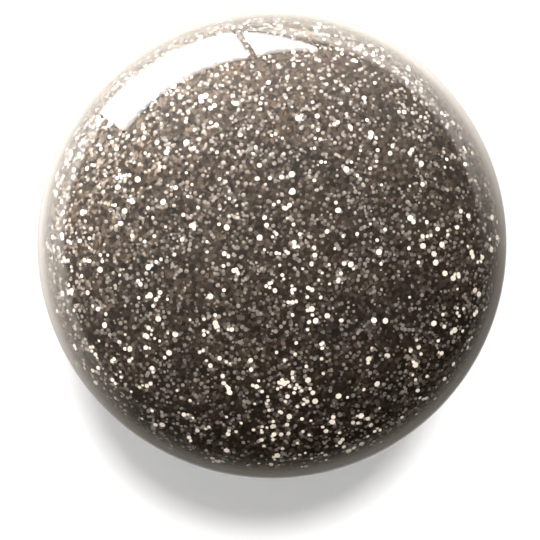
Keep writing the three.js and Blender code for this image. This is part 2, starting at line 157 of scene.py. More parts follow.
def lathe(name, outline, material, segments=96, reshape=None, smooth_angle=40, x_shift=0.0):
    """A closed mesh of revolution about Z from an anticlockwise outline that starts and ends on the axis
    or closes on itself. reshape(radius, z, angle) may give each vertex another radius."""
    angles = [2 * math.pi * i / segments for i in range(segments)]
    vertices, rings = [], []
    for radius, z in outline:
        start = len(vertices)
        if radius < 1e-6:
            vertices.append((x_shift, 0, z))
            rings.append([start] * segments)
            continue
        for a in angles:
            r = reshape(radius, z, a) if reshape else radius
            vertices.append((x_shift + r * math.cos(a), r * math.sin(a), z))
        rings.append(list(range(start, start + segments)))
    closed = all(radius > 1e-6 for radius, _ in outline)
    faces = []
    for low, high in zip(rings, rings[1:] + rings[:1] if closed else rings[1:]):
        for i in range(segments):
            j = (i + 1) % segments
            corners = [low[i], low[j], high[j], high[i]]
            face = [c for k, c in enumerate(corners) if c != corners[k - 1]]
            if len(face) > 2:
                faces.append(face)
    return new_object(name, vertices, faces, material, smooth_angle)


def joined(name, parts, material, smooth_angle=40):
    """One object from a list of (vertices, faces)."""
    vertices, faces = [], []
    for part_vertices, part_faces in parts:
        start = len(vertices)
        vertices += list(part_vertices)
        faces += [[start + c for c in f] for f in part_faces]
    return new_object(name, vertices, faces, material, smooth_angle)


def place(piece, body, slot, *nodes):
    """Makes a piece ride on its body and stand for its CAD nodes. slot is not used."""
    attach(piece, body)
    if nodes:
        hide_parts(*nodes)
    return piece


# ---- Materials ----


def new_material(name):
    """An empty material, its node tree and its output node."""
    material = bpy.data.materials.new(name)
    material.use_nodes = True
    tree = material.node_tree
    tree.nodes.clear()
    output = tree.nodes.new("ShaderNodeOutputMaterial")
    return material, tree, output


def add(tree, kind, **values):
    """A new node. Values are set on the inputs of that name, or on the node itself."""
    node = tree.nodes.new(kind)
    for key, value in values.items():
        name = key.replace("_", " ")
        if name in node.inputs:
            node.inputs[name].default_value = value
        else:
            setattr(node, key, value)
    return node


def principled(tree, base, roughness, metallic=0.0, **values):
    """A Principled shader node. Other values are set on the inputs of that name."""
    node = tree.nodes.new("ShaderNodeBsdfPrincipled")
    node.inputs["Base Color"].default_value = (*base, 1)
    node.inputs["Roughness"].default_value = roughness
    node.inputs["Metallic"].default_value = metallic
    for key, value in values.items():
        node.inputs[key.replace("_", " ")].default_value = value
    return node


def ramp(tree, factor, *stops):
    """A colour ramp with stops of (place, (r, g, b))."""
    node = tree.nodes.new("ShaderNodeValToRGB")
    elements = node.color_ramp.elements
    while len(elements) < len(stops):
        elements.new(0.5)
    for element, (where, colour) in zip(elements, stops):
        element.position = where
        element.color = (*colour, 1)
    tree.links.new(factor, node.inputs[0])
    return node.outputs[0]


def object_position(tree):
    """A socket for the point in the object's own coordinates."""
    return tree.nodes.new("ShaderNodeTexCoord").outputs["Object"]


def noise(tree, scale, detail=3.0):
    """Noise over the object's own coordinates. scale is in repeats a metre."""
    node = add(tree, "ShaderNodeTexNoise", Scale=scale, Detail=detail)
    tree.links.new(object_position(tree), node.inputs["Vector"])
    return node


def smooth_step(tree, value, start, stop, top=1.0):
    """A socket that goes smoothly from 0 to top as value goes from start to stop."""
    step = add(tree, "ShaderNodeMapRange", interpolation_type="SMOOTHSTEP")
    step.inputs["From Min"].default_value = start
    step.inputs["From Max"].default_value = stop
    step.inputs["To Max"].default_value = top
    tree.links.new(value, step.inputs["Value"])
    return step.outputs[0]


def calculated(tree, operation, first, second=None):
    """A socket for a sum, product or function of first. second is a socket or a number."""
    node = add(tree, "ShaderNodeMath", operation=operation)
    tree.links.new(first, node.inputs[0])
    if isinstance(second, (int, float)):
        node.inputs[1].default_value = second
    elif second is not None:
        tree.links.new(second, node.inputs[1])
    return node.outputs[0]


def height_of(tree):
    """A socket for how high a point lies, in metres."""
    split = tree.nodes.new("ShaderNodeSeparateXYZ")
    tree.links.new(object_position(tree), split.inputs[0])
    return split.outputs["Z"]


def mixed(tree, factor, first, second):
    """A socket for a mix of two shaders, which is the first at 0 and the second at 1."""
    mix = tree.nodes.new("ShaderNodeMixShader")
    tree.links.new(factor, mix.inputs[0])
    tree.links.new(first, mix.inputs[1])
    tree.links.new(second, mix.inputs[2])
    return mix.outputs[0]


def bumped(tree, shader, height, strength, distance):
    """Makes a shader's surface rough by a height socket."""
    node = add(tree, "ShaderNodeBump", Strength=strength, Distance=distance)
    tree.links.new(height, node.inputs["Height"])
    tree.links.new(node.outputs[0], shader.inputs["Normal"])


def moulded(name, low, high, roughness, grain=4000, bump=0.12, **values):
    """Moulded plastic or rubber: a colour that drifts a little, and a fine moulded skin."""
    material, tree, output = new_material(name)
    shader = principled(tree, low, roughness, **values)
    broad = noise(tree, 120)
    tree.links.new(ramp(tree, broad.outputs[0], (0.3, low), (0.7, high)), shader.inputs["Base Color"])
    fine = noise(tree, grain, 2.0)
    bumped(tree, shader, fine.outputs[0], bump, 0.02 * MM)
    tree.links.new(shader.outputs[0], output.inputs[0])
    return material


def turned_metal(name, low, high, roughness, grain=9000):
    """Metal with faint rings from turning or spinning."""
    material, tree, output = new_material(name)
    shader = principled(tree, low, roughness, 1.0)
    stretch = add(tree, "ShaderNodeVectorMath", operation="MULTIPLY")
    stretch.inputs[1].default_value = (0.02, 0.02, 1.0)
    tree.links.new(object_position(tree), stretch.inputs[0])
    rings = add(tree, "ShaderNodeTexNoise", Scale=grain, Detail=2.0)
    tree.links.new(stretch.outputs[0], rings.inputs["Vector"])
    tree.links.new(ramp(tree, rings.outputs[0], (0.3, low), (0.7, high)), shader.inputs["Base Color"])
    bumped(tree, shader, rings.outputs[0], 0.08, 0.01 * MM)
    tree.links.new(shader.outputs[0], output.inputs[0])
    return material


def leant_normal(tree, random_colour, amount):
    """A socket for the surface's normal, which leans by amount in the direction of a random colour."""
    centred = add(tree, "ShaderNodeVectorMath", operation="SUBTRACT")
    centred.inputs[1].default_value = (0.5, 0.5, 0.5)
    tree.links.new(random_colour, centred.inputs[0])
    tilt = add(tree, "ShaderNodeVectorMath", operation="SCALE")
    tilt.inputs["Scale"].default_value = amount
    tree.links.new(centred.outputs[0], tilt.inputs[0])
    normal = tree.nodes.new("ShaderNodeNewGeometry").outputs["Normal"]
    leaning = add(tree, "ShaderNodeVectorMath", operation="ADD")
    tree.links.new(normal, leaning.inputs[0])
    tree.links.new(tilt.outputs[0], leaning.inputs[1])
    unit = add(tree, "ShaderNodeVectorMath", operation="NORMALIZE")
    tree.links.new(leaning.outputs[0], unit.inputs[0])
    return unit.outputs[0]


def glitter_base():
    """The dark brown ground: fine flakes as cells, each with its own tone and its own tilt."""
    material, tree, output = new_material("glitter_lacquer")
    shader = principled(tree, (0.1, 0.08, 0.06), 0.4, 0.75)
    position = object_position(tree)
    cells = add(tree, "ShaderNodeTexVoronoi", Scale=3600.0)
    tree.links.new(position, cells.inputs["Vector"])
    tone = add(tree, "ShaderNodeSeparateColor")
    tree.links.new(cells.outputs["Color"], tone.inputs[0])
    colours = ramp(
        tree,
        tone.outputs[0],
        (0.0, (0.009, 0.004, 0.0008)),
        (0.4, (0.021, 0.0112, 0.004)),
        (0.75, (0.047, 0.03, 0.0165)),
        (1.0, (0.13, 0.1, 0.076)),
    )
    broad = noise(tree, 260)
    drift = ramp(tree, broad.outputs[0], (0.35, (0.75, 0.75, 0.75)), (0.65, (1.2, 1.18, 1.15)))
    drifting = add(tree, "ShaderNodeMix", data_type="RGBA", blend_type="MULTIPLY")
    drifting.inputs[0].default_value = 1.0
    tree.links.new(colours, drifting.inputs[6])
    tree.links.new(drift, drifting.inputs[7])
    tree.links.new(drifting.outputs[2], shader.inputs["Base Color"])
    tree.links.new(leant_normal(tree, cells.outputs["Color"], 0.5), shader.inputs["Normal"])
    tree.links.new(shader.outputs[0], output.inputs[0])
    return material


def flake(name, low, high, roughness, metallic):
    """Cut film, each flake with a tone of its own."""
    material, tree, output = new_material(name)
    shader = principled(tree, low, roughness, metallic)
    island = tree.nodes.new("ShaderNodeNewGeometry").outputs["Random Per Island"]
    tree.links.new(ramp(tree, island, (0.0, low), (1.0, high)), shader.inputs["Base Color"])
    tree.links.new(shader.outputs[0], output.inputs[0])
    return material


def shoulder_haze(tree, amount):
    """A socket for how hazy the dome is here: only round its shoulder, and where it is seen edge on."""
    full_within, gone_beyond = 2.4 * MM, 4.4 * MM
    facing = tree.nodes.new("ShaderNodeLayerWeight").outputs["Facing"]
    edge_on = smooth_step(tree, facing, 0.24, 0.66, amount)
    above = calculated(tree, "SUBTRACT", height_of(tree), DOME_Z * MM)
    distance = calculated(tree, "ABSOLUTE", above)
    shoulder = smooth_step(tree, distance, gone_beyond, full_within)
    return calculated(tree, "MULTIPLY", edge_on, shoulder)


def see_through(name, tint, ior, haze=0.0):
    """A clear solid that refracts. Lamp light passes straight through it to what it holds. haze is how far
    the dome's shoulder turns pearly."""
    material, tree, output = new_material(name)
    solid = principled(tree, tint, 0.0, IOR=ior, Transmission_Weight=1.0).outputs[0]
    if haze:
        pearl = principled(tree, (0.245, 0.218, 0.188), 0.4, 0.25).outputs[0]
        solid = mixed(tree, shoulder_haze(tree, haze), solid, pearl)
    clear = tree.nodes.new("ShaderNodeBsdfTransparent")
    clear.inputs[0].default_value = (*tint, 1)
    to_lamp = tree.nodes.new("ShaderNodeLightPath").outputs["Is Shadow Ray"]
    tree.links.new(mixed(tree, to_lamp, solid, clear.outputs[0]), output.inputs[0])
    return material


ACRYLIC = see_through("clear_acrylic", (0.985, 0.98, 0.97), 1.49, haze=0.85)
GLASS = see_through("clear_glass", (0.96, 0.98, 0.97), 1.5)
GLITTER = glitter_base()
FLAKE_BRIGHT = flake("flake_champagne", (0.82, 0.73, 0.62), (0.98, 0.87, 0.75), 0.4, 0.1)
FLAKE_MID = flake("flake_bronze", (0.025, 0.0145, 0.0075), (0.38, 0.335, 0.292), 0.35, 0.55)
TRIM = turned_metal("metallised_trim", (0.36, 0.32, 0.28), (0.44, 0.4, 0.36), 0.2)
STEEL = turned_metal("steel", (0.5, 0.5, 0.51), (0.62, 0.62, 0.63), 0.28)
BLACK = moulded("black_plastic", (0.012, 0.011, 0.012), (0.02, 0.018, 0.019), 0.32)
NATURAL = moulded("natural_plastic", (0.7, 0.69, 0.65), (0.8, 0.79, 0.75), 0.45, Subsurface_Weight=0.15)
FOAM = moulded("seal_foam", (0.82, 0.81, 0.79), (0.9, 0.89, 0.87), 0.85, 2500, 0.5)
RUBBER = moulded("grip_rubber", (0.02, 0.02, 0.022), (0.035, 0.035, 0.037), 0.75, 6000, 0.4)
NYLON = moulded("nylon", (0.02, 0.017, 0.015), (0.04, 0.034, 0.03), 0.5)
LABEL = moulded("label", (0.62, 0.57, 0.52), (0.68, 0.63, 0.58), 0.6, 7000, 0.3)

# ---- The overcap ----


def domed_cup(outer, rise, inner, inner_rise, bottom, edge):
    """The outline of a cup that is open downwards, with an elliptical crown. It runs down the inside and
    up the outside."""
    steps = 40
    return (
        [(0, DOME_Z + inner_rise)]
        + arc(0, DOME_Z, inner, 90, 0, steps, inner_rise)[1:]
        + [(inner, bottom), (outer - edge, bottom)]
        + arc(outer - edge, bottom + edge, edge, -90, 0, 4)[1:]
        + arc(0, DOME_Z, outer, 0, 90, steps, rise)[:-1]
        + [(0, DOME_Z + rise)]
    )


def overcap():
    shell = domed_cup(DOME_RADIUS, DOME_RISE, CUP_RADIUS - BOND, CUP_RISE - BOND, DOME_BOTTOM, 0.3)
    place(lathe("clear_dome", shell, ACRYLIC, 192), "overcap", "clear_acrylic", "overcap_clear_dome")
    cup = domed_cup(CUP_RADIUS, CUP_RISE, CUP_RADIUS - CUP_WALL, CUP_RISE - CUP_WALL, CUP_BOTTOM, 0.1)
    place(lathe("glitter_cup", cup, GLITTER, 160), "overcap", "glitter_lacquer", "overcap_colour_cup")
    radius, bottom, top = reach("overcap_trim_ring")
    inner = CUP_RADIUS - CUP_WALL - 0.9
    middle = (bottom + top) / 2
    trim = softened(
        [
            (inner, bottom),
            (radius, bottom),
            (radius, middle - 0.15),
            (radius - 0.15, middle),
            (radius, middle + 0.15),
            (radius, top),
            (inner, top),
        ],
        0.25,
    )
    place(lathe("trim_ring", trim, TRIM, 160), "overcap", "metallised_trim", "overcap_trim_ring")


# ---- Glitter flakes ----

FLAKE_HALF_THICKNESS = 0.012
BRONZE_LIFT = 0.02  # how high each kind lies over its ground
BRIGHT_LIFT = 0.045


def flakes(name, centres, normals, radii, material):
    """Thin six-sided flakes, each a closed lens shape, lying on a surface with a random lean."""
    count = len(centres)
    lean = rng.normal(0, 0.1, (count, 3))
    up = normals + lean
    up /= np.linalg.norm(up, axis=1)[:, None]
    side = np.cross(up, rng.normal(0, 1, (count, 3)))
    side /= np.linalg.norm(side, axis=1)[:, None]
    across = np.cross(up, side)
    turns = np.arange(6) * math.pi / 3
    squeeze = rng.uniform(0.85, 1.0, count)
    rim = (
        centres[:, None]
        + side[:, None] * (np.cos(turns)[None, :, None] * radii[:, None, None])
        + across[:, None] * (np.sin(turns)[None, :, None] * (radii * squeeze)[:, None, None])
    )
    top, bottom = centres + up * FLAKE_HALF_THICKNESS, centres - up * FLAKE_HALF_THICKNESS
    vertices = np.concatenate([rim, top[:, None], bottom[:, None]], axis=1).reshape(-1, 3)
    faces = []
    for start in range(0, count * 8, 8):
        for i in range(6):
            j = (i + 1) % 6
            faces.append((start + i, start + j, start + 6))
            faces.append((start + j, start + i, start + 7))
    made = new_object(name, vertices, faces, material)
    made.data.polygons.foreach_set("use_smooth", [False] * len(faces))
    return made


# Where the bright flakes crowd on the crown: (x, y, size, how much more crowded than around it).
CLUSTERS = [
    (1.2, -11.0, 1.3, 4.0),
    (3.4, -3.8, 1.4, 3.0),
    (13.7, -2.0, 1.3, 1.6),
    (7.5, 6.3, 1.2, 1.4),
    (-4.8, 9.5, 1.6, 0.8),
    (-11.6, 5.3, 2.0, 0.9),
    (-6.0, 2.1, 1.6, 1.2),
    (-9.7, -7.6, 1.3, 1.2),
    (5.0, 8.3, 1.2, 1.0),
    (9.6, -7.7, 1.2, 1.0),
    (-4.1, -7.2, 1.4, 1.0),
    (-14.6, -1.5, 1.4, 0.8),
    (0.4, 2.5, 1.2, 0.6),
    (5.3, 13.6, 1.2, 0.8),
]
# Where they are sparse: (x, y, size).
CLEARINGS = [
    (-2.5, -11.6, 1.6),
    (6.3, -6.9, 1.8),
    (9.3, 8.5, 1.6),
    (7.5, -10.7, 1.6),
    (4.3, 4.9, 1.4),
    (9.7, -3.1, 1.5),
    (-7.0, -11.9, 1.5),
    (-5.3, -1.8, 1.3),
]


def crowding(points):
    """How crowded the bright flakes are at these points, where 1 is the common run."""
    spread = np.ones(len(points))
    for x, y, size, more in CLUSTERS:
        spread += more * np.exp(-((points[:, 0] - x) ** 2 + (points[:, 1] - y) ** 2) / (2 * size**2))
    for x, y, size in CLEARINGS:
        spread *= 1 - 0.75 * np.exp(-((points[:, 0] - x) ** 2 + (points[:, 1] - y) ** 2) / (2 * size**2))
    return spread


def clumping(points):
    """From about 0 to 1: how crowded the flakes are here, in soft clumps a few millimetres across."""
    waves, count = 0, 9
    for k in range(count):
        turn = 2.4 * k
        pitch = 1.1 + 0.55 * (k % 4)
        direction = np.array([math.cos(turn), math.sin(turn), 0.6 * math.sin(1.7 * k)])
        waves = waves + np.sin(points @ direction * pitch + 1.3 * k * k)
    return 0.5 + waves / count


def dome_points(count, radius, rise):
    """Random points on the elliptical crown, even over its plan, with their normals."""
    share = np.sqrt(rng.uniform(0, 1, count)) * 0.998
    turn = rng.uniform(0, 2 * math.pi, count)
    flat = np.stack([np.cos(turn), np.sin(turn)], 1)
    height = np.sqrt(1 - share**2)
    points = np.column_stack([flat * (share * radius)[:, None], DOME_Z + rise * height])
    normals = np.column_stack([flat * (share / radius)[:, None], height / rise])
    return points, normals / np.linalg.norm(normals, axis=1)[:, None]


def wall_points(count, radius, bottom, top):
    """Random points on an upright round wall, with their normals."""
    turn = rng.uniform(0, 2 * math.pi, count)
    height = rng.uniform(bottom, top, count)
    normals = np.column_stack([np.cos(turn), np.sin(turn), np.zeros(count)])
    return normals * [radius, radius, 0] + height[:, None] * [0, 0, 1], normals


def kept(points, normals, chance):
    """The points that a draw with this chance keeps, with their normals."""
    keep = rng.uniform(0, 1, len(points)) < chance
    return points[keep], normals[keep]


def paired(points, normals, share):
    """The points, and beside this share of them a second one, so that some flakes overlap."""
    again = rng.uniform(0, 1, len(points)) < share
    beside = np.cross(normals[again], rng.normal(0, 1, (int(again.sum()), 3)))
    beside *= 0.3 / np.linalg.norm(beside, axis=1)[:, None]
    return np.concatenate([points, points[again] + beside]), np.concatenate([normals, normals[again]])


def bronze_clumping(points):
    """Clumps of the bronze flakes, finer than those of the bright ones and in other places."""
    return clumping(points * 1.3 + 5)


def overcap_flakes():
    """Bronze flakes on the crown and on the wall, and bright ones over both. A chance divided by the
    normal's height keeps the flakes as crowded on the steep part of the crown as on its flat part."""
    wall_low = CUP_BOTTOM + 0.3
    crown = dome_points(14000, CUP_RADIUS + BRONZE_LIFT, CUP_RISE + BRONZE_LIFT)
    crown = kept(*crown, (0.18 + 0.37 * bronze_clumping(crown[0])) / crown[1][:, 2])
    radii = rng.uniform(0.08, 0.18, len(crown[0]))
    place(flakes("cup_flakes_bronze", *crown, radii, FLAKE_MID), "overcap", "glitter_lacquer")
    wall = wall_points(22000, CUP_RADIUS + BRONZE_LIFT, wall_low, DOME_Z)
    wall = kept(*wall, 0.3 + 0.6 * bronze_clumping(wall[0]))
    radii = rng.uniform(0.1, 0.2, len(wall[0]))
    place(flakes("wall_flakes_bronze", *wall, radii, FLAKE_MID), "overcap", "glitter_lacquer")
    crown = dome_points(4200, CUP_RADIUS + BRIGHT_LIFT, CUP_RISE + BRIGHT_LIFT)
    common = 0.094 - 0.045 * crown[0][:, 1] / CUP_RADIUS  # sparser towards +Y
    clumps = (0.6 + 0.8 * clumping(crown[0])) * crowding(crown[0])
    crown = kept(*crown, common * clumps / crown[1][:, 2])
    wall = wall_points(5200, CUP_RADIUS + BRIGHT_LIFT, wall_low, DOME_Z)
    wall = kept(*wall, 0.26 * (0.3 + 1.4 * clumping(wall[0])))
    bright = np.concatenate([crown[0], wall[0]]), np.concatenate([crown[1], wall[1]])
    bright = paired(*bright, 0.15)
    radii = rng.choice([0.12, 0.15, 0.19, 0.24], len(bright[0]), p=[0.25, 0.35, 0.29, 0.11])
    place(flakes("cup_flakes_champagne", *bright, radii, FLAKE_BRIGHT), "overcap", "glitter_lacquer")


# ---- The bottle ----


def ridge(angle, z, thread_z, start_turn, turns):
    """How far a thread stands out here. thread_z is its height where it starts, at start_turn."""
    most = 0.0
    first = (angle / (2 * math.pi) - start_turn) % 1
    for k in range(math.ceil(turns) + 1):
        turn = first + k
        if turn > turns:
            break
        away = abs(z - thread_z - turn * THREAD_LEAD)
        rise = min(1, max(0, (THREAD_HALF_ROOT - away) / (THREAD_HALF_ROOT - THREAD_HALF_CREST)))
        fade = min(1, turn / THREAD_FADE, (turns - turn) / THREAD_FADE)
        most = max(most, rise * fade)
    return THREAD_DEPTH * most


def glass_bottle():
    heel, shoulder, corner, inner_shoulder = 3.8, 4.0, 3.5, 3.4
    stand = GLASS_RADIUS - heel
    bead = NECK_RADIUS + 0.65
    neck = divided([(NECK_RADIUS, SHOULDER_Z + 2.4), (NECK_RADIUS, RIM_Z - 0.3)], 0.12)
    outline = (
        [(0, 1), (stand - 2.4, 1)]
        + [(stand - 2.0, 0.85), (stand - 1.5, 0.15), (stand - 1.1, 0), (stand, 0)]
        + arc(stand, heel, heel, -90, 0, 12)[1:]
        + arc(GLASS_RADIUS - shoulder, SHOULDER_Z - shoulder, shoulder, 0, 90, 12)
        + [(bead + 0.6, SHOULDER_Z)]
        + arc(bead + 0.6, SHOULDER_Z + 0.6, 0.6, 270, 180, 6)[1:]
        + [(bead, SHOULDER_Z + 1.7), (bead - 0.1, SHOULDER_Z + 1.9)]
        + neck
        + arc(NECK_RADIUS - 0.3, RIM_Z - 0.3, 0.3, 0, 90, 4)[1:]
        + arc(NECK_BORE_RADIUS + 0.3, RIM_Z - 0.3, 0.3, 90, 180, 4)
        + [(NECK_BORE_RADIUS, CEILING_Z + 2)]
        + arc(NECK_BORE_RADIUS + 2, CEILING_Z + 2, 2, 180, 270, 8)[1:]
        + arc(GLASS_INNER_RADIUS - inner_shoulder, CEILING_Z - inner_shoulder, inner_shoulder, 90, 0, 10)
        + arc(GLASS_INNER_RADIUS - corner, GLASS_BASE + corner, corner, 0, -90, 10)
        + [(0, GLASS_BASE)]
    )

    def threaded(radius, z, angle):
        if radius < NECK_RADIUS - 0.01 or not GLASS_THREAD_Z - 1 < z < RIM_Z - 0.31:
            return radius
        return radius + ridge(angle, z, GLASS_THREAD_Z, 0, 2)

    glass = lathe("bottle_glass", outline, GLASS, 144, threaded)
    place(glass, "bottle", "clear_glass", "glass_bottle")


def lacquer():
    """The lacquer wets the glass and climbs it a little at its surface. A well holds the brush, and a
    channel open to the glass holds the mixing balls."""
    outer, floor_z, corner = GLASS_INNER_RADIUS + BOND, GLASS_BASE - BOND, 3.5
    channel, well = BALL_RADIUS + 0.37, 3.3
    corner_z = GLASS_BASE + corner
    cut = -math.degrees(math.acos((BALL_TRACK_RADIUS + channel - outer + corner) / corner))
    channel_start = 180 + math.degrees(math.asin((BALL_Z - floor_z) / channel))
    outline = (
        [(0, floor_z)]
        + arc(BALL_TRACK_RADIUS, BALL_Z, channel, channel_start, 0, 20)
        + arc(outer - corner, corner_z, corner, cut, 0, 6)
        + [(outer, FILL_Z - 0.02)]
        + arc(outer - 0.9, FILL_Z + 0.55, 0.9, -38, -90, 6, 0.75)[1:]
        + [(well + 0.6, FILL_Z - 0.2)]
        + arc(well + 0.25, FILL_Z - 0.45, 0.25, 90, 180, 4)
        + [(well, TUFT_TIP_Z - 0.9)]
        + arc(well - 0.3, TUFT_TIP_Z - 0.9, 0.3, 0, -90, 3)[1:]
        + [(0, TUFT_TIP_Z - 1.2)]
    )
    fill = lathe("lacquer", outline, GLITTER, 128)
    place(fill, "bottle", "glitter_lacquer", "lacquer_fill")
    wall_top = FILL_Z - 0.3
    wall = wall_points(15000, outer + BRONZE_LIFT, corner_z, wall_top)
    wall = kept(*wall, 0.3 + 0.6 * bronze_clumping(wall[0]))
    radii = rng.uniform(0.08, 0.18, len(wall[0]))
    place(flakes("lacquer_flakes_bronze", *wall, radii, FLAKE_MID), "bottle", "glitter_lacquer")
    wall = wall_points(2600, outer + 2 * BRONZE_LIFT, corner_z - 0.5, wall_top)
    wall = kept(*wall, 0.3 + 0.5 * clumping(wall[0]))
    radii = rng.choice([0.13, 0.17, 0.21, 0.26], len(wall[0]), p=[0.25, 0.35, 0.28, 0.12])
    place(flakes("lacquer_flakes_champagne", *wall, radii, FLAKE_BRIGHT), "bottle", "glitter_lacquer")


def bottle_fittings():
    sleeve, lip, low, top = NECK_BORE_RADIUS - 0.2, STEM_RADIUS + 0.65, RIM_Z - 7.1, RIM_Z + 0.7
    wiper = softened(
        [
            (lip, low),
            (sleeve - 0.6, low),
            (sleeve, low + 0.8),
            (sleeve, RIM_Z + 0.05),
            (NECK_RADIUS - 0.4, RIM_Z + 0.05),
            (NECK_RADIUS - 0.4, top),
            (sleeve - 0.5, top),
            (sleeve - 0.7, top - 0.2),
            (sleeve - 0.7, low + 1.2),
            (lip, low + 0.7),
        ]
    )
    place(lathe("wiper", wiper, NATURAL), "bottle", "natural_plastic", "neck_wiper")
    radius, low, top = reach("base_label")
    disc = [(0, low), (radius - 0.05, low), (radius, low + 0.05), (radius, top), (0, top)]
    place(lathe("blank_label", disc, LABEL), "bottle", "label", "base_label")
    for n, side in ((1, 1), (2, -1)):
        outline = arc(0, BALL_Z, BALL_RADIUS, -90, 90, 24)
        outline[0], outline[-1] = (0, BALL_Z - BALL_RADIUS), (0, BALL_Z + BALL_RADIUS)
        ball = lathe(f"ball_{n}", outline, STEEL, 48, x_shift=side * BALL_TRACK_RADIUS)
        place(ball, f"ball_{n}", "steel", f"mixing_ball_{n}")


# ---- The brush cap ----


def ring(name, node, inner, material, body, slot, rounding=0.12):
    """A ring with softened edges, which takes its outer radius and heights from a CAD node."""
    outer, low, top = reach(node)
    outline = softened([(inner, low), (outer, low), (outer, top), (inner, top)], rounding)
    place(lathe(name, outline, material), body, slot, node)


def handle():
    """The slim handle with upright flutes for the fingers."""
    inner, edge = HANDLE_RADIUS - 1.1, 0.6
    flutes, flute_radius, flute_low, flute_top = 24, 0.45, HANDLE_BOTTOM + 12, HANDLE_TOP - 3
    # The rows crowd where the flutes start and end, since a flute has round ends.
    ends = [flute_low + t * flute_radius for t in (0, 0.1, 0.3, 0.6, 1)]
    rows = ends + [flute_low + flute_top - z for z in reversed(ends)]
    outline = (
        [(0, HANDLE_TOP - 1.2), (inner, HANDLE_TOP - 1.2), (inner, HANDLE_BOTTOM + 0.15)]
        + [(inner + 0.15, HANDLE_BOTTOM), (HANDLE_RADIUS - 0.15, HANDLE_BOTTOM)]
        + [(HANDLE_RADIUS, HANDLE_BOTTOM + 0.15)]
        + [(HANDLE_RADIUS, z) for z in rows]
        + arc(HANDLE_RADIUS - edge, HANDLE_TOP - edge, edge, 0, 90, 8)
        + [(0, HANDLE_TOP)]
    )

    def fluted(radius, z, angle):
        if radius < HANDLE_RADIUS - 0.001 or not flute_low < z < flute_top:
            return radius
        pitch = 2 * math.pi / flutes
        aside = abs(angle % pitch - pitch / 2) * HANDLE_RADIUS
        end = min(1, min(z - flute_low, flute_top - z) / flute_radius)
        width = flute_radius * math.sqrt(end * (2 - end))
        return radius - max(0, math.sqrt(max(0, width**2 - aside**2)) - 0.1 * width / flute_radius)

    sleeve = lathe("fluted_handle", outline, BLACK, flutes * 16, fluted, 60)
    place(sleeve, "brush_cap", "black_plastic", "handle_sleeve")


def insert():
    """The moulded insert that screws on the neck."""
    bore, plug_bore = NECK_RADIUS + 1, 3.1
    roof = INSERT_TOP - 1.8
    rows = [z for _, z in divided([(bore, roof - 0.01), (bore, INSERT_BOTTOM + 0.3)], 0.15)]
    outline = (
        [(bore + 0.2, INSERT_BOTTOM), (INSERT_RADIUS, INSERT_BOTTOM), (INSERT_RADIUS, INSERT_TOP)]
        + [(plug_bore, INSERT_TOP), (plug_bore, roof)]
        + [(bore, z) for z in rows]
    )
    # Half a lead off the glass's thread and a little higher, so that each lies in the other's groove.
    start_turn = 0.76
    thread_z = GLASS_THREAD_Z + (start_turn - 0.5) * THREAD_LEAD + 0.25

    def threaded(radius, z, angle):
        if abs(radius - bore) > 0.01:
            return radius
        return radius - ridge(angle, z, thread_z, start_turn, 1.5)

    piece = lathe("insert", outline, NATURAL, 128, threaded)
    place(piece, "brush_cap", "natural_plastic", "threaded_insert")


def stem():
    flange_z, flange, hole, plug = 43.75, 5.6, 1.5, 3.0
    outline = softened(
        [
            (0, TUFT_TOP_Z + 0.2),
            (hole, TUFT_TOP_Z + 0.2),
            (hole, STEM_END_Z),
            (STEM_RADIUS - 0.15, STEM_END_Z),
            (STEM_RADIUS, STEM_END_Z + 0.4),
            (STEM_RADIUS, flange_z),
            (flange, flange_z),
            (flange, flange_z + 1.25),
            (plug, flange_z + 1.25),
            (plug, STEM_TOP - 0.4),
            (plug - 0.4, STEM_TOP),
            (0, STEM_TOP),
        ],
        0.1,
    )
    place(lathe("stem", outline, NATURAL, 64), "brush_cap", "natural_plastic", "brush_stem")


def tuft():
    """Fine bristles that leave the stem as a round bundle and spread into a flat, round-tipped brush."""
    count, sides, rows, bristle_radius = 340, 5, 12, 0.06
    bundle, fan, fan_flatness, fan_length = 1.3, 1.95, 0.42, 7
    top = TUFT_TOP_Z - 0.25
    share = np.sqrt((np.arange(count) + 0.5) / count)
    turn = np.arange(count) * math.pi * (3 - math.sqrt(5))
    x, y = share * np.cos(turn), share * np.sin(turn)
    tip = TUFT_TIP_Z + 2.6 * share**2.5 + rng.uniform(0.05, 0.35, count)
    parts = []
    for i in range(count):
        vertices, faces = [], []
        bow = rng.normal(0, 0.03, 2)
        for k in range(rows + 1):
            t = k / rows
            z = top + (tip[i] - top) * t
            below = min(1, max(0, (STEM_END_Z - z) / fan_length))
            below = below * below * (3 - 2 * below)
            spread = bundle + (fan - bundle) * below - 0.35 * max(0, t - 0.85) / 0.15
            flat = 1 + (fan_flatness - 1) * below
            wave = math.sin(math.pi * t)
            cx = x[i] * spread + bow[0] * wave
            cy = y[i] * spread * flat + bow[1] * wave * 0.4
            size = bristle_radius * (1 - 0.65 * max(0, t - 0.8) / 0.2)
            for j in range(sides):
                a = 2 * math.pi * j / sides
                vertices.append((cx + size * math.cos(a), cy + size * math.sin(a), z))
                if k:
                    low, on = k * sides + j, k * sides + (j + 1) % sides
                    faces.append((low, on, on - sides, low - sides))
        faces.append(tuple(range(sides)))
        faces.append(tuple(rows * sides + j for j in reversed(range(sides))))
        parts.append((vertices, faces))
    place(joined("bristles", parts, NYLON), "brush_cap", "nylon", "bristle_tuft")


# ---- Inside the overcap ----


